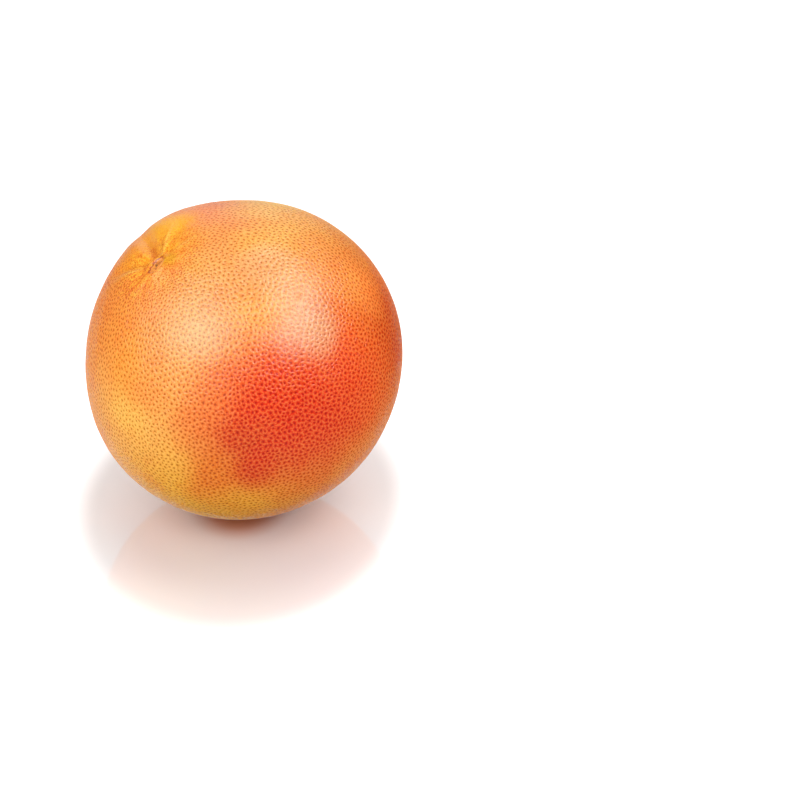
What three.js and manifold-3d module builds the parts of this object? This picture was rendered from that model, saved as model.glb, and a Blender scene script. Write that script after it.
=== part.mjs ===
// A whole picked grapefruit, lying on a small flat spot with its stem scar leaning up to one side.
// Millimetres, +Z up. The origin is the centre of the flat spot that it rests on.

import * as THREE from 'three';
import { mergeVertices } from 'three/addons/utils/BufferGeometryUtils.js';
import Module from 'manifold-3d';

const wasm = await Module();
wasm.setup();

const deg = THREE.MathUtils.degToRad;

// Driving dimensions of the fruit about its own stem axis.
const equatorDiameter = 112;
const polarHeight = 107.5;
const equatorRadius = equatorDiameter / 2;
const polarRadius = polarHeight / 2;

// How the fruit lies: the stem axis leans from the vertical, toward a heading measured from +X to +Y.
const stemLean = deg(37);
const stemHeading = deg(215);
const flatSpotDepth = 0.85;

// Mesh fineness: cells round the stem axis, rings from stem to blossom end, and how far the rings
// crowd toward both ends, where the scar, the furrows and the blossom end need them.
const cellsAround = 80;
const ringsAlong = 52;
const ringCrowding = 0.7;

// Scar left by the stalk: a shallow oval dish with a low rim, its long side down the lean.
const scar = { halfLength: 3.7, halfWidth: 2.6, turn: deg(10), depth: 0.8, rimHeight: 0.25, rimWidth: 0.9 };

// The skin sinks a little round the scar. At the blossom end it sinks into a shallow dimple with the
// small scar of the style at its middle.
const stemHollow = { depth: 0.5, reach: 9 };
const blossomDimple = { depth: 0.9, reach: 11 };
const styleScar = { depth: 0.35, reach: 1.8 };

// Furrows and ridges that run out from the stem scar. turn is the direction from the stem axis and
// endTurn where it has swung to at its far end. depth is in from the skin, so a ridge's is negative.
const furrows = [
  { turn: 246, endTurn: 258, depth: 1.9, width: 3.1, start: 4, end: 38 },
  { turn: 289, endTurn: 297, depth: 0.9, width: 2.6, start: 5, end: 27 },
  { turn: 310, endTurn: 303, depth: -0.3, width: 1.5, start: 6, end: 21 },
  { turn: 196, endTurn: 208, depth: 0.7, width: 2.4, start: 4, end: 24 },
  { turn: 207, endTurn: 224, depth: -0.45, width: 1.2, start: 4, end: 25 },
  { turn: 180, endTurn: 180, depth: 0.45, width: 2.2, start: 4, end: 22 },
  { turn: 168, endTurn: 170, depth: -0.25, width: 1.1, start: 8, end: 21 },
  { turn: 338, endTurn: 330, depth: 0.35, width: 2.0, start: 5, end: 18 },
  { turn: 14, endTurn: 4, depth: -0.2, width: 1.3, start: 5, end: 14 },
  { turn: 62, endTurn: 70, depth: 0.25, width: 2.6, start: 4, end: 15 },
  { turn: 118, endTurn: 126, depth: 0.3, width: 2.4, start: 4, end: 18 },
];

// Broad, low swellings and flats: the direction from the fruit's middle, the height and the spread.
const swellings = [
  { turn: 238, away: 38, height: 1.45, spread: 17 },
  { turn: 272, away: 27, height: 0.5, spread: 12 },
  { turn: 330, away: 52, height: -1.3, spread: 26 },
  { turn: 188, away: 46, height: -0.3, spread: 18 },
  { turn: 20, away: 100, height: 0.2, spread: 24 },
  { turn: 200, away: 105, height: 0.5, spread: 26 },
  { turn: 285, away: 110, height: -0.5, spread: 28 },
  { turn: 120, away: 130, height: -0.4, spread: 24 },
];

// A bump that is 1 at the middle, falls off smoothly and has all but gone at twice the spread.
function bell(distance, spread) {
  return Math.exp(-((distance / spread) ** 2));
}

// 0 before the start, 1 after the end, smooth between.
function ramp(value, start, end) {
  return THREE.MathUtils.smoothstep(value, start, end);
}

function turnBetween(a, b) {
  return Math.atan2(Math.sin(a - b), Math.cos(a - b));
}

// How far a furrow presses the skin in, at a turn and a distance from the stem axis.
function furrowDepth(furrow, turn, across) {
  const along = THREE.MathUtils.clamp((across - furrow.start) / (furrow.end - furrow.start), 0, 1);
  const middle = deg(THREE.MathUtils.lerp(furrow.turn, furrow.endTurn, along));
  const aside = turnBetween(turn, middle) * across;
  const fade = ramp(across, furrow.start - 2, furrow.start + 3) * (1 - ramp(across, furrow.end / 2, furrow.end));
  return furrow.depth * fade * bell(aside, furrow.width);
}

function swellingHeight(swelling, direction) {
  const away = deg(swelling.away);
  const turn = deg(swelling.turn);
  const middle = new THREE.Vector3(
    Math.sin(away) * Math.cos(turn),
    Math.sin(away) * Math.sin(turn),
    Math.cos(away),
  );
  return swelling.height * bell(direction.angleTo(middle), deg(swelling.spread));
}

// How far the stem scar moves the skin: in over its dish, out along its rim.
function scarRelief(turn, across) {
  const along = across * Math.cos(turn - scar.turn) / scar.halfLength;
  const aside = across * Math.sin(turn - scar.turn) / scar.halfWidth;
  const outward = Math.hypot(along, aside);
  const dish = scar.depth * (1 - ramp(outward, 0.75, 1.08));
  const rim = scar.rimHeight * bell((outward - 1.2) * scar.halfWidth, scar.rimWidth);
  return rim - dish;
}

// The distance of the skin from the fruit's middle in one direction, with +Z the stem axis.
function skinRadius(direction) {
  const level = Math.hypot(direction.x, direction.y);
  let radius = 1 / Math.hypot(level / equatorRadius, direction.z / polarRadius);
  const turn = Math.atan2(direction.y, direction.x);
  const across = level * radius;
  for (const swelling of swellings) {
    radius += swellingHeight(swelling, direction);
  }
  if (direction.z > 0) {
    for (const furrow of furrows) {
      radius -= furrowDepth(furrow, turn, across);
    }
    radius += scarRelief(turn, across);
    radius -= stemHollow.depth * bell(across, stemHollow.reach);
  } else {
    radius -= blossomDimple.depth * bell(across, blossomDimple.reach);
    radius -= styleScar.depth * bell(across, styleScar.reach);
  }
  return radius;
}

// The whole skin as one closed mesh about the stem axis, its middle at the origin.
function wholeFruit() {
  const geometry = new THREE.SphereGeometry(1, cellsAround, ringsAlong);
  geometry.rotateX(Math.PI / 2);
  geometry.deleteAttribute('normal');
  geometry.deleteAttribute('uv');
  const positions = geometry.attributes.position;
  const direction = new THREE.Vector3();
  for (let i = 0; i < positions.count; i++) {
    direction.fromBufferAttribute(positions, i);
    const turn = Math.atan2(direction.y, direction.x);
    const evenAway = Math.acos(THREE.MathUtils.clamp(direction.z, -1, 1));
    const away = evenAway - ringCrowding / 2 * Math.sin(2 * evenAway);
    direction.set(Math.sin(away) * Math.cos(turn), Math.sin(away) * Math.sin(turn), Math.cos(away));
    direction.multiplyScalar(skinRadius(direction));
    positions.setXYZ(i, direction.x, direction.y, direction.z);
  }
  return mergeVertices(geometry, 1e-4);
}

// Leans the fruit over and sets it down so that its lowest point is at the origin, sunk by the depth
// of the flat spot. The lowest point of a tilted flattened ball lies off its middle.
function layDown(geometry) {
  const height = Math.hypot(equatorRadius * Math.sin(stemLean), polarRadius * Math.cos(stemLean));
  const flattening = equatorRadius ** 2 - polarRadius ** 2;
  const offset = flattening * Math.sin(stemLean) * Math.cos(stemLean) / height;
  geometry.rotateY(stemLean);
  geometry.rotateZ(stemHeading);
  geometry.translate(
    -offset * Math.cos(stemHeading),
    -offset * Math.sin(stemHeading),
    height - flatSpotDepth,
  );
  return geometry;
}

function toSolid(geometry) {
  const vertProperties = new Float32Array(geometry.attributes.position.array);
  const triVerts = new Uint32Array(geometry.index.array);
  return new wasm.Manifold(new wasm.Mesh({ numProp: 3, vertProperties, triVerts }));
}

function toGeometry(solid) {
  const mesh = solid.getMesh();
  const geometry = new THREE.BufferGeometry();
  geometry.setAttribute('position', new THREE.BufferAttribute(mesh.vertProperties, 3));
  geometry.setIndex(new THREE.BufferAttribute(mesh.triVerts, 1));
  geometry.computeVertexNormals();
  return geometry;
}

// Takes off everything below the ground plane, which leaves the flat spot.
function flattenBottom(geometry) {
  const side = equatorDiameter * 2;
  const ground = new THREE.BoxGeometry(side, side, side);
  ground.translate(0, 0, -side / 2);
  ground.deleteAttribute('normal');
  ground.deleteAttribute('uv');
  return toGeometry(toSolid(geometry).subtract(toSolid(mergeVertices(ground))));
}

const rind = new THREE.MeshStandardMaterial({ color: 0xf0843c, roughness: 0.42, metalness: 0 });

const grapefruit = new THREE.Mesh(flattenBottom(layDown(wholeFruit())), rind);
grapefruit.name = 'grapefruit';

const group = new THREE.Group();
group.add(grapefruit);

export default group;
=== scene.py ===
# A whole grapefruit: a pored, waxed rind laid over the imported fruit, on a pale floor in soft light.
import math

import bpy
import numpy as np
from mathutils import Euler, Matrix, Quaternion, Vector, noise


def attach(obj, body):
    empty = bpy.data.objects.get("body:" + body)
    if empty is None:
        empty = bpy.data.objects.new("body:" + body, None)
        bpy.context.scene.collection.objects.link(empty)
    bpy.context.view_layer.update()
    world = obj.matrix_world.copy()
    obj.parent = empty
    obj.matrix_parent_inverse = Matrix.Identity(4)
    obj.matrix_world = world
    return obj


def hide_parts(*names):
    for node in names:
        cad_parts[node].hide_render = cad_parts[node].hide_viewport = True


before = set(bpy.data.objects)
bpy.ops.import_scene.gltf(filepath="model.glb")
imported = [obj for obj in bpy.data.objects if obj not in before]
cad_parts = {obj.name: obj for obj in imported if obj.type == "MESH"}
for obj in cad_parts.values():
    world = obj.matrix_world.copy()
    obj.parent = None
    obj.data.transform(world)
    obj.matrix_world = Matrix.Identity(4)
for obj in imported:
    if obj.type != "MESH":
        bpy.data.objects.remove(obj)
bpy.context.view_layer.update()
mm = 0.001  # metres in a millimetre

# Sizes in mm, angles in degrees. turn goes round the stem axis, away is measured from the stem.
fruit = {
    "equatorDiameter": 112.0,
    "polarHeight": 107.5,
    "stemLean": 37.0,
    "stemHeading": 215.0,
    "flatSpotDepth": 0.85,
    "flatSpotEdge": 0.4,
    "flatSpotPress": 0.1,  # how much of the soft edge is pressed level with the ground
    "drawnIn": 0.17,  # how far the skin lies inside the plain solid, so that its waves stay inside too
}
halfWide, halfTall = fruit["equatorDiameter"] / 2, fruit["polarHeight"] / 2

scar = {
    "halfLength": 3.7,
    "halfWidth": 2.6,
    "turn": 10.0,
    "depth": 0.8,
    "wall": (0.75, 1.08),  # where the dish starts to rise and ends, in half sizes from its middle
    "rimAt": 1.2,  # half sizes
    "rimHeight": 0.25,
    "rimWidth": 0.9,
}

ends = {
    "stemHollowDepth": 0.5,
    "stemHollowReach": 9.0,
    "blossomDimpleDepth": 0.9,
    "blossomDimpleReach": 11.0,
    "styleScarDepth": 0.35,
    "styleScarReach": 1.8,
}
farHalf = 200.0  # mm added to a distance from one end on the other half, out of that end's reach

# turn, turn at the far end, depth in (a ridge's is negative), width, start and end from the stem
furrows = (
    (246, 258, 1.9, 3.1, 4, 38),
    (289, 297, 0.9, 2.6, 5, 27),
    (310, 303, -0.3, 1.5, 6, 21),
    (196, 208, 0.7, 2.4, 4, 24),
    (207, 224, -0.45, 1.2, 4, 25),
    (180, 180, 0.45, 2.2, 4, 22),
    (168, 170, -0.25, 1.1, 8, 21),
    (338, 330, 0.35, 2.0, 5, 18),
    (14, 4, -0.2, 1.3, 5, 14),
    (62, 70, 0.25, 2.6, 4, 15),
    (118, 126, 0.3, 2.4, 4, 18),
)

furrowForm = {
    "leadIn": 2,  # mm before its start where a furrow begins
    "fullAfter": 3,  # mm past its start where it has its depth
    "crestWidth": 0.55,  # width of the painted highlight line on a ridge, as a share of the ridge's
    "valleyWidth": 0.45,  # width of the painted shade line in a furrow, as a share of the furrow's
}

# turn, away, height out from the skin, spread in degrees
swellings = (
    (238, 38, 1.45, 17),
    (272, 27, 0.5, 12),
    (330, 52, -1.3, 26),
    (188, 46, -0.3, 18),
    (20, 100, 0.2, 24),
    (200, 105, 0.5, 26),
    (285, 110, -0.5, 28),
    (120, 130, -0.4, 24),
)

# the skin's low waves: mm from one to the next, and their height in mm
skinWaves = (
    (11.0, 0.09),
    (4.5, 0.06),
    (2.2, 0.025),
)


def bell(distance, spread):
    return np.exp(-((distance / spread) ** 2))


def ramp(value, start, end):
    part = np.clip((value - start) / (end - start), 0, 1)
    return part * part * (3 - 2 * part)


def directionOf(turn, away):
    turn, away = math.radians(turn), math.radians(away)
    return np.array([math.sin(away) * math.cos(turn), math.sin(away) * math.sin(turn), math.cos(away)])


def angleFrom(directions, turn, away):
    # degrees between each direction and the one that turn and away give
    return np.degrees(np.arccos(np.clip(directions @ directionOf(turn, away), -1, 1)))


def furrowRelief(turn, across):
    # how far the furrows press the skin in and the ridges raise it, in mm, and where their middles run, for
    # a painted highlight along the ridges and painted shade along the furrows
    pressed, raised, crestHighlights, valleyShades = (np.zeros_like(turn) for i in range(4))
    for startTurn, endTurn, deep, width, start, end in furrows:
        along = np.clip((across - start) / (end - start), 0, 1)
        middle = np.radians(startTurn + (endTurn - startTurn) * along)
        aside = np.arctan2(np.sin(turn - middle), np.cos(turn - middle)) * across
        begun = ramp(across, start - furrowForm["leadIn"], start + furrowForm["fullAfter"])
        fade = begun * (1 - ramp(across, end / 2, end))
        pressed += max(deep, 0) * fade * bell(aside, width)
        raised += max(-deep, 0) * fade * bell(aside, width)
        crestHighlights += (deep < 0) * fade * bell(aside, width * furrowForm["crestWidth"])
        valleyShades += max(deep, 0) * fade * bell(aside, width * furrowForm["valleyWidth"])
    return pressed, raised, crestHighlights, valleyShades


def scarRelief(turn, across):
    scarTurn = math.radians(scar["turn"])
    along = across * np.cos(turn - scarTurn) / scar["halfLength"]
    aside = across * np.sin(turn - scarTurn) / scar["halfWidth"]
    outward = np.hypot(along, aside)
    dish = scar["depth"] * (1 - ramp(outward, *scar["wall"]))
    rim = scar["rimHeight"] * bell((outward - scar["rimAt"]) * scar["halfWidth"], scar["rimWidth"])
    return rim - dish


def skinRadius(directions):
    # Distance of the skin from the fruit's middle in mm, with +Z the stem axis. With it go the furrows'
    # depth, where the ridges' painted highlight and the furrows' painted shade run, and the distance from
    # the stem.
    level = np.hypot(directions[:, 0], directions[:, 1])
    radius = 1 / np.hypot(level / halfWide, directions[:, 2] / halfTall)
    turn = np.arctan2(directions[:, 1], directions[:, 0])
    across = level * radius
    stemSide = directions[:, 2] > 0
    for swellingTurn, away, height, spread in swellings:
        radius += height * bell(angleFrom(directions, swellingTurn, away), spread)
    relief = (np.where(stemSide, part, 0) for part in furrowRelief(turn, across))
    pressed, raised, crestHighlights, valleyShades = relief
    stemEnd = scarRelief(turn, across) - ends["stemHollowDepth"] * bell(across, ends["stemHollowReach"])
    blossomEnd = (ends["blossomDimpleDepth"] * bell(across, ends["blossomDimpleReach"])
                  + ends["styleScarDepth"] * bell(across, ends["styleScarReach"]))
    radius += np.where(stemSide, stemEnd, -blossomEnd) + raised - pressed - fruit["drawnIn"]
    for apart, height in skinWaves:
        spots = directions * halfWide / apart
        radius += height * np.array([noise.noise(Vector(spot)) for spot in spots])
    return radius, pressed, crestHighlights, valleyShades, np.where(stemSide, across, across + farHalf)


def fruitPlace():
    # the fruit's middle in mm, and the turn that leans its stem axis over
    lean, heading = math.radians(fruit["stemLean"]), math.radians(fruit["stemHeading"])
    height = math.hypot(halfWide * math.sin(lean), halfTall * math.cos(lean))
    offset = (halfWide ** 2 - halfTall ** 2) * math.sin(lean) * math.cos(lean) / height
    middle = Vector((-offset * math.cos(heading), -offset * math.sin(heading),
                     height - fruit["flatSpotDepth"]))
    return middle, Euler((0, lean, heading))


fruitMiddle, fruitTurn = fruitPlace()


# settings that many nodes share
add = {"operation": "ADD"}
subtract = {"operation": "SUBTRACT"}
multiply = {"operation": "MULTIPLY"}
multiplyAdd = {"operation": "MULTIPLY_ADD"}
normalize = {"operation": "NORMALIZE"}
lengthOf = {"operation": "LENGTH"}
smooth = {"interpolation_type": "SMOOTHSTEP"}
colors = {"data_type": "RGBA"}


def addNode(tree, kind, settings=None, **inputs):
    # Adds a node. An input is a value, a socket to link, or a node, whose first live output is linked.
    # _0, _1 and so on name inputs by their place.
    node = tree.nodes.new(kind)
    for name, value in (settings or {}).items():
        setattr(node, name, value)
    for name, value in inputs.items():
        key = int(name[1:]) if name.startswith("_") else name.replace("_", " ")
        if isinstance(value, bpy.types.Node):
            value = next(output for output in value.outputs if output.enabled)
        if isinstance(value, bpy.types.NodeSocket):
            tree.links.new(value, node.inputs[key])
        else:
            node.inputs[key].default_value = value
    return node


def between(pair):
    # inputs for a range that runs from the pair's first value to its second
    return {"From_Min": pair[0], "From_Max": pair[1]}


def linearColor(hexValue):
    parts = [int(hexValue[i:i + 2], 16) / 255 for i in (1, 3, 5)]
    return tuple(p / 12.92 if p <= 0.04045 else ((p + 0.055) / 1.055) ** 2.4 for p in parts) + (1,)


pores = {
    "spacing": 1.31,  # mm, the least distance between two oil glands before they stray
    "stray": 0.35,  # mm
    "depth": 0.19,  # mm that a full pore sinks
    "smallest": 0.3,  # share of a full pore that the smallest one has
    "seed": 3,
    "ballDetail": 7,  # subdivisions of the ball that the pores are strewn on
    "strewn": 10000.0,  # points to a square unit of the ball, before the spacing thins them out
    "stemCrowding": 2.0,  # how much closer the mesh is at the stem scar
    "stemReach": 8.0,  # mm from the stem that the closer mesh reaches
    "clearFrom": 4.0,  # mm from the stem where the first faint pores show
    "fullFrom": 13.0,
}

# places where the pores are fainter, the middle three as painted highlight where the highlights fall: turn,
# away, spread in degrees, share that they lose
fainterPoresAndHighlights = (
    (236, 22, 16, 0.6),
    (73, 31, 20, 0.13),
    (122, 48, 16, 0.13),
    (108, 61, 14, 0.13),
    (16, 47, 16, 0.1),
)


def poreLatticeTree(rind):
    # Points at the least distance apart on a unit ball, joined into a skin. Each point is a pore, and
    # one subdivision puts a ring of points round it that stay proud.
    tree = bpy.data.node_groups.new("poreLattice", "GeometryNodeTree")
    tree.interface.new_socket("Geometry", in_out="OUTPUT", socket_type="NodeSocketGeometry")
    for name, kind in (("Pore Spacing", "Float"), ("Pore Stray", "Float"), ("Smallest Pore", "Float"),
                       ("Stem Crowding", "Float"), ("Stem Reach", "Float"), ("Seed", "Int")):
        tree.interface.new_socket(name, in_out="INPUT", socket_type="NodeSocket" + kind)
    given = addNode(tree, "NodeGroupInput").outputs
    ball = addNode(tree, "GeometryNodeMeshIcoSphere", Radius=1.0, Subdivisions=pores["ballDetail"])
    scattered = addNode(tree, "GeometryNodeDistributePointsOnFaces", {"distribute_method": "POISSON"},
                        Mesh=ball, Distance_Min=given["Pore Spacing"], Density_Max=pores["strewn"],
                        Seed=given["Seed"])
    points = addNode(tree, "GeometryNodePointsToVertices", Points=scattered)
    position = addNode(tree, "GeometryNodeInputPosition")

    # the points stray a little, and are drawn toward the stem, so that the scar has a finer mesh
    level = addNode(tree, "ShaderNodeVectorMath", multiply, _0=position, _1=(1, 1, 0))
    across = addNode(tree, "ShaderNodeVectorMath", lengthOf, _0=level)
    share = addNode(tree, "ShaderNodeMath", {"operation": "DIVIDE"}, _0=across, _1=given["Stem Reach"])
    squared = addNode(tree, "ShaderNodeMath", multiply, _0=share, _1=share)
    negative = addNode(tree, "ShaderNodeMath", multiply, _0=squared, _1=-1.0)
    spread = addNode(tree, "ShaderNodeMath", {"operation": "POWER"}, _0=math.e, _1=negative)
    height = addNode(tree, "ShaderNodeSeparateXYZ", Vector=position).outputs["Z"]
    stemSide = addNode(tree, "ShaderNodeMath", {"operation": "GREATER_THAN"}, _0=height, _1=0.0)
    pull = addNode(tree, "ShaderNodeMath", multiply, _0=spread, _1=given["Stem Crowding"])
    stemPull = addNode(tree, "ShaderNodeMath", multiply, _0=pull, _1=stemSide)
    upward = addNode(tree, "ShaderNodeCombineXYZ", Z=stemPull)
    jitter = addNode(tree, "FunctionNodeRandomValue", {"data_type": "FLOAT_VECTOR"},
                     _0=(-1, -1, -1), _1=(1, 1, 1), Seed=given["Seed"])
    stray = addNode(tree, "ShaderNodeVectorMath", multiplyAdd, _0=jitter, _1=given["Pore Stray"],
                    _2=position)
    pulled = addNode(tree, "ShaderNodeVectorMath", add, _0=stray, _1=upward)
    rounded = addNode(tree, "ShaderNodeVectorMath", normalize, _0=pulled)
    crowded = addNode(tree, "GeometryNodeSetPosition", Geometry=points, Position=rounded)
    skin = addNode(tree, "GeometryNodeConvexHull", Geometry=crowded)
    count = addNode(tree, "GeometryNodeAttributeDomainSize", Geometry=skin).outputs["Point Count"]
    finer = addNode(tree, "GeometryNodeSubdivideMesh", Mesh=skin, Level=1)

    # the subdivision keeps the pores first, and its own points follow
    index = addNode(tree, "GeometryNodeInputIndex")
    isPore = addNode(tree, "FunctionNodeCompare", {"data_type": "INT", "operation": "LESS_THAN"},
                     _2=index, _3=count)
    size = addNode(tree, "FunctionNodeRandomValue", {"data_type": "FLOAT"},
                   _2=given["Smallest Pore"], _3=1.0, Seed=given["Seed"])
    strength = addNode(tree, "ShaderNodeMath", multiply, _0=isPore, _1=size)
    marked = addNode(tree, "GeometryNodeStoreNamedAttribute", {"data_type": "FLOAT", "domain": "POINT"},
                     Geometry=finer, Name="pore", Value=strength)
    onBall = addNode(tree, "ShaderNodeVectorMath", normalize, _0=position)
    whole = addNode(tree, "GeometryNodeSetPosition", Geometry=marked, Position=onBall)
    real = addNode(tree, "GeometryNodeRealizeInstances", Geometry=whole)
    skinned = addNode(tree, "GeometryNodeSetMaterial", Geometry=real, Material=rind)
    addNode(tree, "NodeGroupOutput", Geometry=skinned)
    return tree


def poredBall(rind):
    tree = poreLatticeTree(rind)
    ball = bpy.data.objects.new("poreBall", bpy.data.meshes.new("poreBall"))
    bpy.context.collection.objects.link(ball)
    modifier = ball.modifiers.new("poreLattice", "NODES")
    modifier.node_group = tree
    values = {
        "Pore Spacing": pores["spacing"] / halfWide,
        "Pore Stray": pores["stray"] / halfWide,
        "Smallest Pore": pores["smallest"],
        "Stem Crowding": pores["stemCrowding"],
        "Stem Reach": pores["stemReach"] * (1 + pores["stemCrowding"]) / halfWide,
        "Seed": pores["seed"],
    }
    for item in tree.interface.items_tree:
        if item.in_out == "INPUT":
            modifier[item.identifier] = values[item.name]
    evaluated = ball.evaluated_get(bpy.context.evaluated_depsgraph_get())
    mesh = bpy.data.meshes.new_from_object(evaluated)
    bpy.data.objects.remove(ball)
    return mesh


def makeSkin(rind):
    mesh = poredBall(rind)
    mesh.name = "grapefruit_skin"
    count = len(mesh.vertices)
    directions = np.empty(count * 3)
    mesh.vertices.foreach_get("co", directions)
    directions = directions.reshape(-1, 3)
    pore = np.empty(count)
    mesh.attributes["pore"].data.foreach_get("value", pore)

    radius, pressed, crestHighlights, valleyShades, fromStem = skinRadius(directions)
    pored = ramp(fromStem, pores["clearFrom"], pores["fullFrom"])
    for turn, away, spread, share in fainterPoresAndHighlights:
        pored *= 1 - share * bell(angleFrom(directions, turn, away), spread)
    pore *= pored
    radius -= pores["depth"] * pore
    matrix = np.array(fruitTurn.to_matrix())
    places = (directions * radius[:, None]) @ matrix.T + np.array(fruitMiddle)
    # the skin flattens where it lies on the ground, with a soft edge
    edge = fruit["flatSpotEdge"]
    softened = edge * np.logaddexp(0, places[:, 2] / edge)
    places[:, 2] = np.maximum(softened - fruit["flatSpotPress"], 0)

    mesh.vertices.foreach_set("co", (places * mm).ravel())
    mesh.attributes["pore"].data.foreach_set("value", pore)
    for name, values in (("furrow", pressed), ("crestHighlight", crestHighlights), ("valleyShade", valleyShades), ("pored", pored)):
        mesh.attributes.new(name, "FLOAT", "POINT").data.foreach_set("value", values)
    mesh.shade_smooth()
    mesh.update()
    skin = bpy.data.objects.new("grapefruit_skin", mesh)
    bpy.context.collection.objects.link(skin)
    return skin


rindFinish = {
    "orange": "#E6802F",
    "roughness": 0.23,
    "poreRoughness": 0.21,
    "refraction": 1.5,
    "gloss": 0.95,
    "waxGloss": 0.05,
    "waxRoughness": 0.2,
    "lightShare": 0.1,  # of the light that goes into the rind
    "lightDepth": 1.5,  # mm that it goes in
    "lightColor": (1.0, 0.4, 0.15),  # how deep its red, green and blue go, as shares of that
    "patchWarp": 7.0,  # mm that the patches' outlines wander
    "patchWarpSize": 26.0,  # mm
    "patchCore": 0.2,  # share of a patch's reach that has its full colour
    "mottleSize": 13.0,  # mm across the small clouds of yellower and redder skin
}

# Pairs say where a mark starts and where it is full: sizes of a pore, or values of the speckle's noise.
# The skin's own speckles and swellings are finer, and are drawn as coarse as they need to be to show.
poreFinish = {
    "dotTint": "#C0984E",
    "dot": (0.38, 0.82),
    "dotRise": 0.03,  # mm that the dark dot stands up from the bottom of its pore
    "slope": (0.0, 0.6),
    "slopeDepth": 0.1,  # mm that the skin falls away round a pore
    "netSheen": "#4A4E22",  # painted sheen that the raised skin between the pores adds
    "net": (0.42, 0.05),
    "speckleSize": 0.55,  # mm across the lighter and darker flecks of the net
    "speckle": (0.34, 0.66),
    "speckleShare": 1.6,
    "fleckTint": "#F2DCC8",
    "fleck": (0.5, 0.3),
    "grainSize": 0.8,  # mm between the fine swellings of the skin
    "grainHeight": 0.1,  # mm
}

# soft patches of colour, some of them painted highlight and painted shade, in the order laid on: turn,
# away, spread in degrees, share, colour
blushesAndPaintedLight = (
    (20, 40, 60, 0.8, "#E6882A"),
    (16, 70, 46, 0.9, "#E8A350"),
    (28, 98, 46, 0.9, "#E6A424"),
    (19, 56, 16, 0.5, "#EEB448"),
    (22, 39, 13, 0.5, "#E88C1C"),
    (34, 43, 15, 0.4, "#E88C38"),
    (110, 35, 50, 0.8, "#E69842"),
    (145, 42, 40, 0.7, "#E69A3C"),
    (163, 54, 40, 0.9, "#E8A24C"),
    (100, 34, 22, 0.6, "#DC985E"),
    (134, 24, 12, 0.5, "#E08C50"),
    # painted highlight: paler skin where the upper right highlight spreads
    (128, 42, 14, 0.85, "#ECB280"),
    (98, 45, 13, 0.6, "#E88A10"),
    # painted highlight: paler, less red skin under the left highlight, in this and the next line
    (70, 30, 26, 0.7, "#CC8C44"),
    (72, 38, 13, 0.6, "#CC9C60"),
    # painted highlight: paler, less red skin under the upper right highlight
    (122, 48, 20, 0.75, "#D0904A"),
    (128, 88, 50, 0.9, "#E26A22"),
    (138, 68, 22, 0.6, "#E88E40"),
    # painted shade: a darker red-orange on the right edge
    (133, 100, 26, 0.8, "#CC420A"),
    (100, 89, 34, 0.9, "#DE4212"),
    # painted shade: a deeper red low on the front
    (62, 82, 22, 0.85, "#CC360A"),
    (40, 88, 15, 0.6, "#E07818"),
    # red blush, deepened with painted shade and red bounced light
    (78, 76, 41, 1.0, "#D22C08"),
    (53, 81, 10, 0.6, "#D04A0C"),
    # painted shade: a deeper red low on the front
    (60, 75, 12, 0.6, "#C83408"),
    (44, 84, 14, 0.7, "#DC6A10"),
    # painted highlight: paler, less red skin under the lower right highlight, in this and the next line
    (106, 64, 14, 0.6, "#E69C7C"),
    (108, 62, 19, 0.8, "#CC8454"),
    (190, 32, 26, 0.7, "#E67E4C"),
    (176, 42, 14, 0.6, "#ECB45A"),
    (192, 56, 20, 0.8, "#E8B050"),
    (139, 81, 14, 0.5, "#FF9440"),
    (200, 105, 50, 0.8, "#E28032"),
    (270, 110, 45, 0.9, "#E69C38"),
    (330, 120, 40, 0.8, "#E6A33E"),
    (40, 150, 50, 0.6, "#E38F34"),
)

# the clouds: values of the mottle where one starts and is full, share, how it mixes, colour
clouds = (
    ((0.5, 0.75), 0.6, "SCREEN", "#003C18"),
    ((0.5, 0.25), 0.7, "MULTIPLY", "#FADCCF"),
)

# the skin round the stem, and the scar at the blossom end
stemFinish = {
    "tintWarp": 2.5,  # mm that the small tints' outlines wander
    "tintWarpSize": 3.0,  # mm
    "streakSize": 0.07,  # the streaks' width, as a share of their distance from the stem
    "streakChange": 0.02,  # how fast they change along their length, to a mm
    "streakReach": (21.0, 6.0),  # mm from the stem where they start and are full
    "streakShare": 0.85,
    "nearSide": (-0.3, 0.7),  # where the side with fewer streaks starts and is full, from -1 to 1 across
    "nearSideStreaks": 0.35,  # their share on that side, where the pores come closest to the stem
    "valleyReach": (20.0, 9.0),  # mm from the stem where the furrows' painted shade lines start and are full
    "blossomScar": "#8E5F30",
    "blossomScarReach": (2.2, 1.2),  # mm from the blossom end
    "blossomScarShare": 0.9,
}

# the streaks, and the grains between them: values of the noise where they start and are full, how they
# mix, colour
streaks = (
    ((0.5, 0.58), "MIX", "#F6B42C"),
    ((0.5, 0.42), "MULTIPLY", "#F2C090"),
)
grains = (
    ((0.52, 0.66), "SCREEN", "#3C3010"),
    ((0.48, 0.34), "MULTIPLY", "#E4BE8C"),
)

# painted light on the furrows' shaded sides, painted shade along their middles and a painted highlight
# on the ridges: values where they start and are full, share, colour
furrowLightAndShade = (
    # painted light: brighter orange over the furrows' shaded sides
    ("furrow", (0.3, 1.2), 0.7, "#F09800"),
    # painted shade along the furrows' middles
    ("valleyShade", (0.4, 1.5), 0.8, "#CC6400"),
    # painted highlight along the ridge crests
    ("crestHighlight", (0.1, 0.9), 0.55, "#F4BE50"),
)

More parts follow.
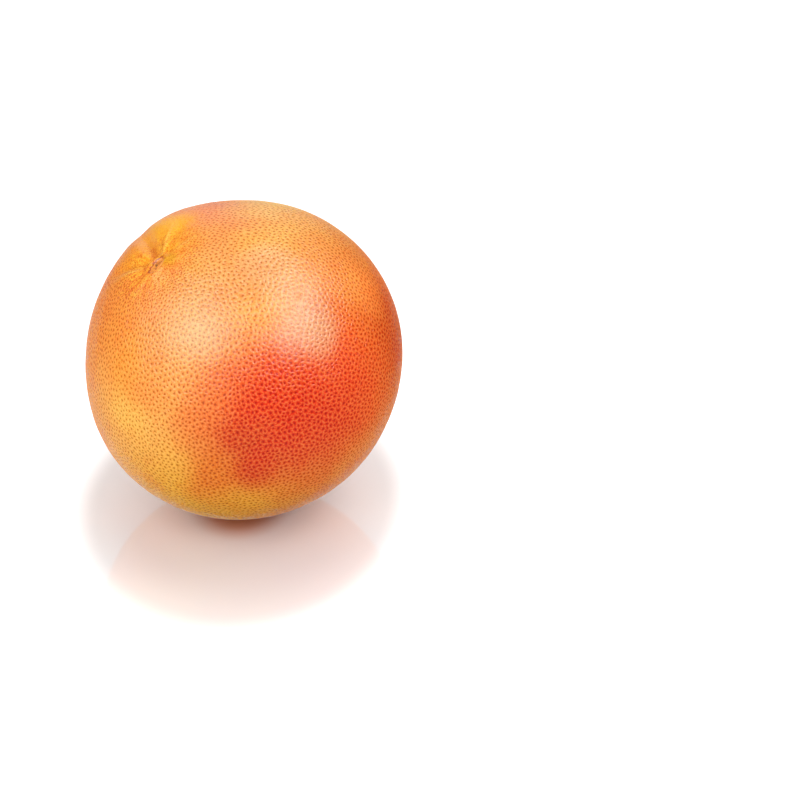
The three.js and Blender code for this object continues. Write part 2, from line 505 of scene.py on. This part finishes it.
# small tints close round the stem, one of them painted light on a shaded furrow flank: turn, mm from the
# stem, mm that it spreads, share, colour
stemTints = (
    (250, 14, 24, 0.9, "#E48A08"),
    (48, 17, 13, 0.6, "#E68840"),
    (223, 20, 13, 0.95, "#F0A400"),
    (240, 26, 9, 0.6, "#F0A400"),
    (271, 12, 8, 0.5, "#EC9608"),
    (170, 10, 12, 0.6, "#E88A14"),
    (228, 6, 7, 0.8, "#D89A10"),
    # painted light: bright yellow lifting the shade on the big furrow's flank
    (238, 6, 3, 0.7, "#FFB818"),
    (142, 5, 5, 0.8, "#CC920E"),
    (60, 6, 5, 0.6, "#E2A866"),
    (342, 11, 6, 0.6, "#E4701C"),
    (100, 10, 5, 0.35, "#E46E34"),
)

# The stem scar's marks. A reach counts the scar's half sizes from its middle with the ragged edge added,
# a side runs from -1 at the scar's far edge to 1 at its near edge, and pairs say where a mark starts and
# where it is full.
scarFinish = {
    "tint": "#E08C38",
    "reach": (1.3, 1.1),
    "narrowed": 0.85,  # width of the marks, as a share of the dish's
    "ragged": 0.5,  # half sizes
    "raggedWaves": 1.2,  # to a mm
    "blotchTint": "#B4641E",
    "blotch": (0.45, 0.6),  # values of the ragged noise
    "blotchShare": 0.7,
    # painted highlight: paler tan on the scar's near side
    "highlightTint": "#F2AA54",
    "highlightSide": (0.1, 0.8),
    "highlightShare": 0.8,
    "vesselTint": "#6E3604",
    "vessels": 0.75,  # to a mm
    "vesselSize": (0.34, 0.2),
    "vesselReach": (1.05, 0.8),
    "vesselShare": 0.9,
    "rimTint": "#A04800",
    "rimOuter": (1.36, 1.26),
    "rimInner": (1.06, 1.16),
    # the rim is painted darker on the far side than on the near side, as painted shade
    "rimShadedSide": (0.3, -0.3),
    "rimLeast": 0.15,  # the rim's share on the near side
    "dulled": 0.1,  # roughness that the scar adds
}


def wanderingPlace(tree, place, size, detail, amount):
    # the place moved about by a soft noise, so that the outlines drawn from it wander
    wander = addNode(tree, "ShaderNodeTexNoise", Vector=place, Scale=1 / size, Detail=detail)
    centred = addNode(tree, "ShaderNodeVectorMath", subtract, _0=wander.outputs["Color"],
                      _1=(0.5, 0.5, 0.5))
    return addNode(tree, "ShaderNodeVectorMath", multiplyAdd, _0=centred, _1=amount, _2=place)


def patchLayers(tree, place, patches):
    # soft round patches: middle and reach in mm, share, colour
    layers = []
    for middle, reach, share, tint in patches:
        distance = addNode(tree, "ShaderNodeVectorMath", {"operation": "DISTANCE"}, _0=place, _1=middle)
        cover = addNode(tree, "ShaderNodeMapRange", smooth, Value=distance, To_Max=share,
                        **between((reach, rindFinish["patchCore"] * reach)))
        layers.append((cover, "MIX", tint))
    return layers


def toneLayers(tree, pattern, share, tones):
    # a paler and a darker tint, laid on by the pattern's high and low values
    layers = []
    for values, blend, tint in tones:
        side = addNode(tree, "ShaderNodeMapRange", Value=pattern, **between(values))
        layers.append((addNode(tree, "ShaderNodeMath", multiply, _0=side, _1=share), blend, tint))
    return layers


def blushAndLightLayers(tree, own):
    # big soft patches of colour, some of them painted highlight and painted shade, with small clouds over
    # them
    warp = 2 * rindFinish["patchWarp"]
    warped = wanderingPlace(tree, own, rindFinish["patchWarpSize"], 1.0, (warp, warp, warp))
    layers = patchLayers(tree, warped, [
        (directionOf(turn, away) * halfWide, math.radians(spread) * halfWide, share, tint)
        for turn, away, spread, share, tint in blushesAndPaintedLight])
    mottle = addNode(tree, "ShaderNodeTexNoise", Vector=own, Scale=1 / rindFinish["mottleSize"], Detail=3.0)
    for values, share, blend, tint in clouds:
        cover = addNode(tree, "ShaderNodeMapRange", Value=mottle, To_Max=share, **between(values))
        layers.append((cover, blend, tint))
    return layers


def stemLayers(tree, nudged, flat, across, fromStem, nearStem):
    # small tints, one of them painted light, streaks, painted light on the furrows' sides, painted shade
    # along the furrows and a painted highlight along the ridges
    layers = patchLayers(tree, nudged, [
        (directionOf(turn, math.degrees(math.asin(distant / halfWide))) * halfTall, spread, share, tint)
        for turn, distant, spread, share, tint in stemTints])

    # the streaks run out from the stem
    around = addNode(tree, "ShaderNodeVectorMath", normalize, _0=flat)
    along = addNode(tree, "ShaderNodeMath", multiply, _0=across, _1=stemFinish["streakChange"])
    upright = addNode(tree, "ShaderNodeCombineXYZ", Z=along)
    streakPlace = addNode(tree, "ShaderNodeVectorMath", add, _0=around, _1=upright)
    streak = addNode(tree, "ShaderNodeTexNoise", Vector=streakPlace, Scale=1 / stemFinish["streakSize"],
                     Detail=5.0, Roughness=0.6)
    heading = addNode(tree, "ShaderNodeSeparateXYZ", Vector=around).outputs["Y"]
    most = stemFinish["streakShare"]
    sided = addNode(tree, "ShaderNodeMapRange", smooth, Value=heading, To_Min=most,
                    To_Max=most * stemFinish["nearSideStreaks"], **between(stemFinish["nearSide"]))
    streaky = addNode(tree, "ShaderNodeMath", multiply, _0=nearStem, _1=sided)
    layers += toneLayers(tree, streak, streaky, streaks)

    closeBy = addNode(tree, "ShaderNodeMapRange", smooth, Value=fromStem,
                      **between(stemFinish["valleyReach"]))
    for line, values, share, tint in furrowLightAndShade:
        depth = addNode(tree, "ShaderNodeAttribute", {"attribute_name": line}).outputs["Fac"]
        cover = addNode(tree, "ShaderNodeMapRange", Value=depth, To_Max=share, **between(values))
        if line == "valleyShade":
            cover = addNode(tree, "ShaderNodeMath", multiply, _0=cover, _1=closeBy)
        layers.append((cover, "MIX", tint))
    return layers


def poreLayers(tree, own, pore, dot, nearStem):
    # dark dots in the pores, and a speckled painted sheen on the net between them
    gap = addNode(tree, "ShaderNodeMapRange", Value=pore, **between(poreFinish["net"]))
    speckle = addNode(tree, "ShaderNodeTexNoise", Vector=own, Scale=1 / poreFinish["speckleSize"],
                      Detail=1.0)
    uneven = addNode(tree, "ShaderNodeMapRange", Value=speckle, To_Max=poreFinish["speckleShare"],
                     **between(poreFinish["speckle"]))
    patchy = addNode(tree, "ShaderNodeMath", multiply, _0=gap, _1=uneven)
    pored = addNode(tree, "ShaderNodeAttribute", {"attribute_name": "pored"}).outputs["Fac"]
    net = addNode(tree, "ShaderNodeMath", multiply, _0=patchy, _1=pored)
    fleck = addNode(tree, "ShaderNodeMapRange", Value=speckle, **between(poreFinish["fleck"]))
    return [(net, "SCREEN", poreFinish["netSheen"]), (fleck, "MULTIPLY", poreFinish["fleckTint"]),
            *toneLayers(tree, speckle, nearStem, grains), (dot, "MULTIPLY", poreFinish["dotTint"])]


def scarLayers(tree, own, nudged, below):
    # a tan dish with dark marks where the vessels ended, a painted highlight on its near side, and a brown
    # rim, darker on its far side as painted shade
    ragged = addNode(tree, "ShaderNodeTexNoise", Vector=own, Scale=scarFinish["raggedWaves"], Detail=2.0)
    # the last scale is so large that height counts for nothing
    scarPlace = addNode(tree, "ShaderNodeMapping", {"vector_type": "TEXTURE"}, Vector=own,
                        Rotation=(0, 0, math.radians(scar["turn"])),
                        Scale=(scar["halfLength"], scarFinish["narrowed"] * scar["halfWidth"], 1000.0))
    reach = addNode(tree, "ShaderNodeVectorMath", lengthOf, _0=scarPlace)
    raggedReach = addNode(tree, "ShaderNodeMath", multiplyAdd, _0=ragged, _1=scarFinish["ragged"], _2=reach)
    outward = addNode(tree, "ShaderNodeMath", multiplyAdd, _0=below, _1=farHalf, _2=raggedReach)
    side = addNode(tree, "ShaderNodeSeparateXYZ", Vector=scarPlace).outputs["Y"]
    inside = addNode(tree, "ShaderNodeMapRange", smooth, Value=outward, **between(scarFinish["reach"]))

    blotch = addNode(tree, "ShaderNodeMapRange", Value=ragged, To_Max=scarFinish["blotchShare"],
                     **between(scarFinish["blotch"]))
    blotched = addNode(tree, "ShaderNodeMath", multiply, _0=blotch, _1=inside)
    nearSideHighlight = addNode(tree, "ShaderNodeMapRange", smooth, Value=side, To_Max=scarFinish["highlightShare"],
                   **between(scarFinish["highlightSide"]))
    highlightPart = addNode(tree, "ShaderNodeMath", multiply, _0=nearSideHighlight, _1=inside)
    vessels = addNode(tree, "ShaderNodeTexVoronoi", Vector=nudged, Scale=scarFinish["vessels"])
    spot = addNode(tree, "ShaderNodeMapRange", smooth, Value=vessels, To_Max=scarFinish["vesselShare"],
                   **between(scarFinish["vesselSize"]))
    middleOnly = addNode(tree, "ShaderNodeMapRange", smooth, Value=outward,
                         **between(scarFinish["vesselReach"]))
    mark = addNode(tree, "ShaderNodeMath", multiply, _0=spot, _1=middleOnly)
    rimOut = addNode(tree, "ShaderNodeMapRange", smooth, Value=outward, **between(scarFinish["rimOuter"]))
    rimIn = addNode(tree, "ShaderNodeMapRange", smooth, Value=outward, **between(scarFinish["rimInner"]))
    rimShadedSide = addNode(tree, "ShaderNodeMapRange", smooth, Value=side, To_Min=scarFinish["rimLeast"],
                      **between(scarFinish["rimShadedSide"]))
    ring = addNode(tree, "ShaderNodeMath", multiply, _0=rimOut, _1=rimIn)
    rim = addNode(tree, "ShaderNodeMath", multiply, _0=ring, _1=rimShadedSide)
    marks = ((inside, "tint"), (blotched, "blotchTint"), (highlightPart, "highlightTint"), (mark, "vesselTint"),
             (rim, "rimTint"))
    return [(cover, "MIX", scarFinish[tint]) for cover, tint in marks], inside


def rindMaterial():
    # citrus rind, washed and waxed: a satin skin whose oil glands show as darker dots, light going a
    # little way into it, and a thin clear coat of wax that gives broad soft highlights
    material = bpy.data.materials.new("waxed citrus rind")
    material.use_nodes = True
    tree = material.node_tree
    tree.nodes.clear()
    place = addNode(tree, "ShaderNodeTexCoord").outputs["Object"]
    # the fruit's own space in mm, with the stem axis along Z
    own = addNode(tree, "ShaderNodeMapping", {"vector_type": "TEXTURE"}, Vector=place,
                  Location=fruitMiddle * mm, Rotation=fruitTurn, Scale=(mm, mm, mm))
    warp = 2 * stemFinish["tintWarp"]
    nudged = wanderingPlace(tree, own, stemFinish["tintWarpSize"], 2.0, (warp, warp, 0.0))

    # how far each point lies from the stem or the blossom end, in mm, and a long way on the other half
    flat = addNode(tree, "ShaderNodeVectorMath", multiply, _0=own, _1=(1, 1, 0))
    across = addNode(tree, "ShaderNodeVectorMath", lengthOf, _0=flat)
    height = addNode(tree, "ShaderNodeSeparateXYZ", Vector=own).outputs["Z"]
    below = addNode(tree, "ShaderNodeMath", {"operation": "LESS_THAN"}, _0=height, _1=0.0)
    above = addNode(tree, "ShaderNodeMath", subtract, _0=1.0, _1=below)
    fromStem = addNode(tree, "ShaderNodeMath", multiplyAdd, _0=below, _1=farHalf, _2=across)
    fromBlossom = addNode(tree, "ShaderNodeMath", multiplyAdd, _0=above, _1=farHalf, _2=across)
    nearStem = addNode(tree, "ShaderNodeMapRange", smooth, Value=fromStem,
                       **between(stemFinish["streakReach"]))
    pore = addNode(tree, "ShaderNodeAttribute", {"attribute_name": "pore"}).outputs["Fac"]
    dot = addNode(tree, "ShaderNodeMapRange", smooth, Value=pore, **between(poreFinish["dot"]))

    scarMarks, inside = scarLayers(tree, own, nudged, below)
    style = addNode(tree, "ShaderNodeMapRange", smooth, Value=fromBlossom,
                    To_Max=stemFinish["blossomScarShare"], **between(stemFinish["blossomScarReach"]))
    layers = [*blushAndLightLayers(tree, own), *stemLayers(tree, nudged, flat, across, fromStem, nearStem),
              *poreLayers(tree, own, pore, dot, nearStem), *scarMarks,
              (style, "MIX", stemFinish["blossomScar"])]
    color = linearColor(rindFinish["orange"])
    for cover, blend, tint in layers:
        color = addNode(tree, "ShaderNodeMix", {**colors, "blend_type": blend},
                        _0=cover, _6=color, _7=linearColor(tint))

    dull = addNode(tree, "ShaderNodeMapRange", Value=dot, To_Min=rindFinish["roughness"],
                   To_Max=rindFinish["poreRoughness"])
    dullScar = addNode(tree, "ShaderNodeMath", multiplyAdd, _0=inside, _1=scarFinish["dulled"], _2=dull)
    risen = addNode(tree, "ShaderNodeMath", multiply, _0=dot, _1=poreFinish["dotRise"])
    sinking = addNode(tree, "ShaderNodeMapRange", smooth, Value=pore, To_Max=-poreFinish["slopeDepth"],
                      **between(poreFinish["slope"]))
    pitted = addNode(tree, "ShaderNodeMath", add, _0=risen, _1=sinking)
    grain = addNode(tree, "ShaderNodeTexNoise", Vector=own, Scale=1 / poreFinish["grainSize"], Detail=1.0)
    relief = addNode(tree, "ShaderNodeMath", multiplyAdd, _0=grain, _1=poreFinish["grainHeight"], _2=pitted)
    bump = addNode(tree, "ShaderNodeBump", Height=relief, Distance=mm, Strength=1.0)
    shader = addNode(tree, "ShaderNodeBsdfPrincipled", Base_Color=color, Roughness=dullScar, Normal=bump,
                     IOR=rindFinish["refraction"], Specular_IOR_Level=rindFinish["gloss"],
                     Coat_Weight=rindFinish["waxGloss"], Coat_Roughness=rindFinish["waxRoughness"],
                     Subsurface_Weight=rindFinish["lightShare"], Subsurface_Radius=rindFinish["lightColor"],
                     Subsurface_Scale=rindFinish["lightDepth"] * mm)
    addNode(tree, "ShaderNodeOutputMaterial", Surface=shader)
    print("the rind has", len(layers), "layers of colour")
    return material


studio = {
    "floorRadius": 4000.0,  # mm
    "floorSides": 96,
    "floorColor": "#EEEEEE",
    "roughness": 0.05,
    "refraction": 1.7,  # above the 1.49 of acrylic, so that the fruit's reflection shows
    "coatRoughness": 0.03,
    "contactShadowColor": "#C47E58",  # painted contact shadow, warmed by painted light that the rind throws on it
    "underReach": 33.0,  # mm from the fruit's middle
    # painted shade round the fruit, darker still to the front
    "nearShadeColor": "#E8DEDC",
    "nearReach": 110.0,
    "fadeFrom": 0.5,  # share of a reach from which its colour gives way to the next
    "frontShadeColor": "#CECACC",
    "front": (-5.0, -50.0),  # mm from the fruit's middle, across which painted shade darkens the ground to the front
    "nearGlow": 0.11,  # a painted glow that only the camera sees, by the fruit and away from it; kept low by the fruit, under the painted shade
    "farGlow": 0.85,
    "glow": (80.0, 106.0),  # mm from the fruit's middle, in front of it
    "glowNarrow": 1.6,  # how much closer it comes at the sides
}


def makeFloor():
    radius, count = studio["floorRadius"] * mm, studio["floorSides"]
    mesh = bpy.data.meshes.new("studioFloor")
    ring = [(radius * math.cos(2 * math.pi * i / count), radius * math.sin(2 * math.pi * i / count), 0)
            for i in range(count)]
    mesh.from_pydata(ring, [], [tuple(range(count))])
    floor = bpy.data.objects.new("studioFloor", mesh)
    bpy.context.collection.objects.link(floor)
    # white acrylic sheet, polished: a pale ground with a faint reflection, a painted contact shadow and
    # painted shade round the fruit, and a painted glow that only the camera sees
    material = bpy.data.materials.new("white acrylic sheet")
    material.use_nodes = True
    tree = material.node_tree
    tree.nodes.clear()
    seen = addNode(tree, "ShaderNodeLightPath").outputs["Is Camera Ray"]
    place = addNode(tree, "ShaderNodeTexCoord").outputs["Object"]
    narrowed = addNode(tree, "ShaderNodeVectorMath", multiply, _0=place, _1=(studio["glowNarrow"], 1, 1))
    distance = addNode(tree, "ShaderNodeVectorMath", lengthOf, _0=narrowed)
    outward = addNode(tree, "ShaderNodeMapRange", smooth, Value=distance,
                      **between([edge * mm for edge in studio["glow"]]))
    across = addNode(tree, "ShaderNodeSeparateXYZ", Vector=place).outputs["Y"]
    forward = addNode(tree, "ShaderNodeMapRange", smooth, Value=across,
                      **between([edge * mm for edge in studio["front"]]))
    near = addNode(tree, "ShaderNodeMix", colors, _0=forward,
                   _6=linearColor(studio["nearShadeColor"]), _7=linearColor(studio["frontShadeColor"]))
    color = linearColor(studio["contactShadowColor"])
    for zone, tint in (("under", near), ("near", linearColor(studio["floorColor"]))):
        reach = studio[zone + "Reach"] * mm
        beyond = addNode(tree, "ShaderNodeMapRange", smooth, Value=distance,
                         **between((studio["fadeFrom"] * reach, reach)))
        color = addNode(tree, "ShaderNodeMix", colors, _0=beyond, _6=color, _7=tint)
    # painted glow for camera rays only, dim by the fruit and bright away from it
    glowing = addNode(tree, "ShaderNodeMapRange", Value=outward, To_Min=studio["nearGlow"],
                      To_Max=studio["farGlow"])
    glow = addNode(tree, "ShaderNodeMath", multiply, _0=seen, _1=glowing)
    shader = addNode(tree, "ShaderNodeBsdfPrincipled", Base_Color=color, Roughness=studio["roughness"],
                     IOR=studio["refraction"], Specular_IOR_Level=1.0, Coat_Weight=1.0,
                     Coat_Roughness=studio["coatRoughness"], Emission_Color=color, Emission_Strength=glow)
    addNode(tree, "ShaderNodeOutputMaterial", Surface=shader)
    mesh.materials.append(material)
    # left out of the rind's gloss, so that its lower half keeps a deep colour
    floor.visible_glossy = False


# The white tent round the set. Pairs say where a part starts and where it is full, on directions that
# run from -1 to 1: rightward, away from the camera and up.
surround = {
    "leftWall": 0.70,  # brightness
    "rightWall": 0.2,
    "leftToRight": (-1.0, 0.6),
    "ceiling": 0.55,  # brightness of the white cloth overhead
    "wallToCeiling": (0.0, 0.8),
    "backWall": 2.6,
    "backAway": (0.5, 0.85),
    "backAside": (0.4, 0.2),  # to either side of its middle
    "backShift": 0.05,  # how far its middle lies to the left
    "backRaised": (-0.1, 0.1),
    "inGloss": 0.16,  # share of the cloth's brightness that polished things mirror
    "rimGlow": 0.7,  # brightness of the lit ground behind, which the rind's edges mirror
    "rimToward": (-0.12, 0.84, -0.53),
    "rimSpread": (0.72, 0.97),  # closeness to that direction
    "rimRaised": (-0.84, -0.72),  # none right under the fruit, where its own shadow lies
}


def makeSurround():
    # a white tent, bright overhead and on the left and dark on the right, behind a plain white ground
    world = bpy.data.worlds.new("whiteSurround")
    world.use_nodes = True
    tree = world.node_tree
    tree.nodes.clear()
    path = addNode(tree, "ShaderNodeLightPath")
    toward = addNode(tree, "ShaderNodeTexCoord").outputs["Generated"]
    parts = addNode(tree, "ShaderNodeSeparateXYZ", Vector=toward)
    right, away, up = (parts.outputs[axis] for axis in "XYZ")
    wall = addNode(tree, "ShaderNodeMapRange", smooth, Value=right, To_Min=surround["leftWall"],
                   To_Max=surround["rightWall"], **between(surround["leftToRight"]))
    cloth = addNode(tree, "ShaderNodeMapRange", smooth, Value=up, To_Min=wall, To_Max=surround["ceiling"],
                    **between(surround["wallToCeiling"]))

    backward = addNode(tree, "ShaderNodeMapRange", smooth, Value=away, **between(surround["backAway"]))
    sideways = addNode(tree, "ShaderNodeMath", add, _0=right, _1=surround["backShift"])
    aside = addNode(tree, "ShaderNodeMath", {"operation": "ABSOLUTE"}, _0=sideways)
    straight = addNode(tree, "ShaderNodeMapRange", smooth, Value=aside, **between(surround["backAside"]))
    raised = addNode(tree, "ShaderNodeMapRange", smooth, Value=up, **between(surround["backRaised"]))
    behind = addNode(tree, "ShaderNodeMath", multiply, _0=backward, _1=straight)
    back = addNode(tree, "ShaderNodeMath", multiply, _0=behind, _1=raised)
    tent = addNode(tree, "ShaderNodeMapRange", Value=back, To_Min=cloth, To_Max=surround["backWall"])
    mirrored = addNode(tree, "ShaderNodeMapRange", Value=path.outputs["Is Glossy Ray"], To_Min=1.0,
                       To_Max=surround["inGloss"])
    dimmed = addNode(tree, "ShaderNodeMath", multiply, _0=tent, _1=mirrored)

    groundward = addNode(tree, "ShaderNodeVectorMath", {"operation": "DOT_PRODUCT"},
                         _0=toward, _1=surround["rimToward"])
    ground = addNode(tree, "ShaderNodeMapRange", smooth, Value=groundward, To_Max=surround["rimGlow"],
                     **between(surround["rimSpread"]))
    unshaded = addNode(tree, "ShaderNodeMapRange", smooth, Value=up, **between(surround["rimRaised"]))
    lit = addNode(tree, "ShaderNodeMath", multiply, _0=ground, _1=unshaded)
    rimmed = addNode(tree, "ShaderNodeMath", multiplyAdd, _0=lit, _1=path.outputs["Is Glossy Ray"],
                     _2=dimmed)
    strength = addNode(tree, "ShaderNodeMapRange", Value=path.outputs["Is Camera Ray"], To_Min=rimmed,
                       To_Max=1.0)
    background = addNode(tree, "ShaderNodeBackground", Color=(1, 1, 1, 1), Strength=strength)
    addNode(tree, "ShaderNodeOutputWorld", Surface=background)
    bpy.context.scene.world = world


# Soft boxes: bearing from the view's right toward its far side, height above the floor and roll, all
# in degrees, then distance, width and length in mm, power in watts, and whether the rind's gloss shows it.
softBoxes = (
    ("leftBox", 227, 42.5, 0, 1300, 1200, 1000, 8.8, True),
    ("rightBox", 332, 51, -62, 1400, 720, 1750, 12.2, True),
    ("lowFill", 238, 5, 0, 1300, 1200, 500, 9.0, False),
    ("rightFill", 338, 15, 0, 1300, 700, 900, 6.5, False),
    ("backFill", 160, 35, 0, 1300, 800, 800, 1.0, False),
)


def makeSoftBoxes():
    for name, bearing, height, roll, distance, width, length, power, shines in softBoxes:
        bearing, height = math.radians(bearing), math.radians(height)
        outward = Vector((math.cos(bearing) * math.cos(height), math.sin(bearing) * math.cos(height),
                          math.sin(height)))
        light = bpy.data.lights.new(name, "AREA")
        light.shape = "RECTANGLE"
        light.size = width * mm
        light.size_y = length * mm
        light.energy = power
        box = bpy.data.objects.new(name, light)
        box.location = fruitMiddle * mm + outward * distance * mm
        upright = outward.to_track_quat("Z", "Y")
        box.rotation_euler = (upright @ Quaternion((0, 0, 1), math.radians(roll))).to_euler()
        box.visible_glossy = shines
        bpy.context.collection.objects.link(box)


cameraView = {
    "lens": 100.0,  # mm
    "sensorWidth": 36,  # mm
    "distance": 767.0,  # mm along the view to the fruit's middle
    "pitch": 25.06,  # degrees that it looks down
    "aimRight": 54.2,  # mm from the fruit's middle to the point looked at
    "aimDown": 14.1,
}


def makeCamera():
    pitch = math.radians(cameraView["pitch"])
    forward = Vector((0, math.cos(pitch), -math.sin(pitch)))
    up = Vector((0, math.sin(pitch), math.cos(pitch)))
    aim = fruitMiddle + Vector((cameraView["aimRight"], 0, 0)) - up * cameraView["aimDown"]
    data = bpy.data.cameras.new("camera")
    data.lens = cameraView["lens"]
    data.sensor_width = cameraView["sensorWidth"]
    camera = bpy.data.objects.new("camera", data)
    camera.location = (aim - forward * cameraView["distance"]) * mm
    camera.rotation_euler = (-forward).to_track_quat("Z", "Y").to_euler()
    bpy.context.collection.objects.link(camera)
    bpy.context.scene.camera = camera


makeCamera()
makeFloor()
makeSurround()
makeSoftBoxes()
print("camera, floor and lights are set")

grapefruitSkin = makeSkin(rindMaterial())
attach(grapefruitSkin, "root")
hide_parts("grapefruit")
print("the skin has", len(grapefruitSkin.data.vertices), "points")

bpy.context.scene.view_settings.view_transform = "Standard"
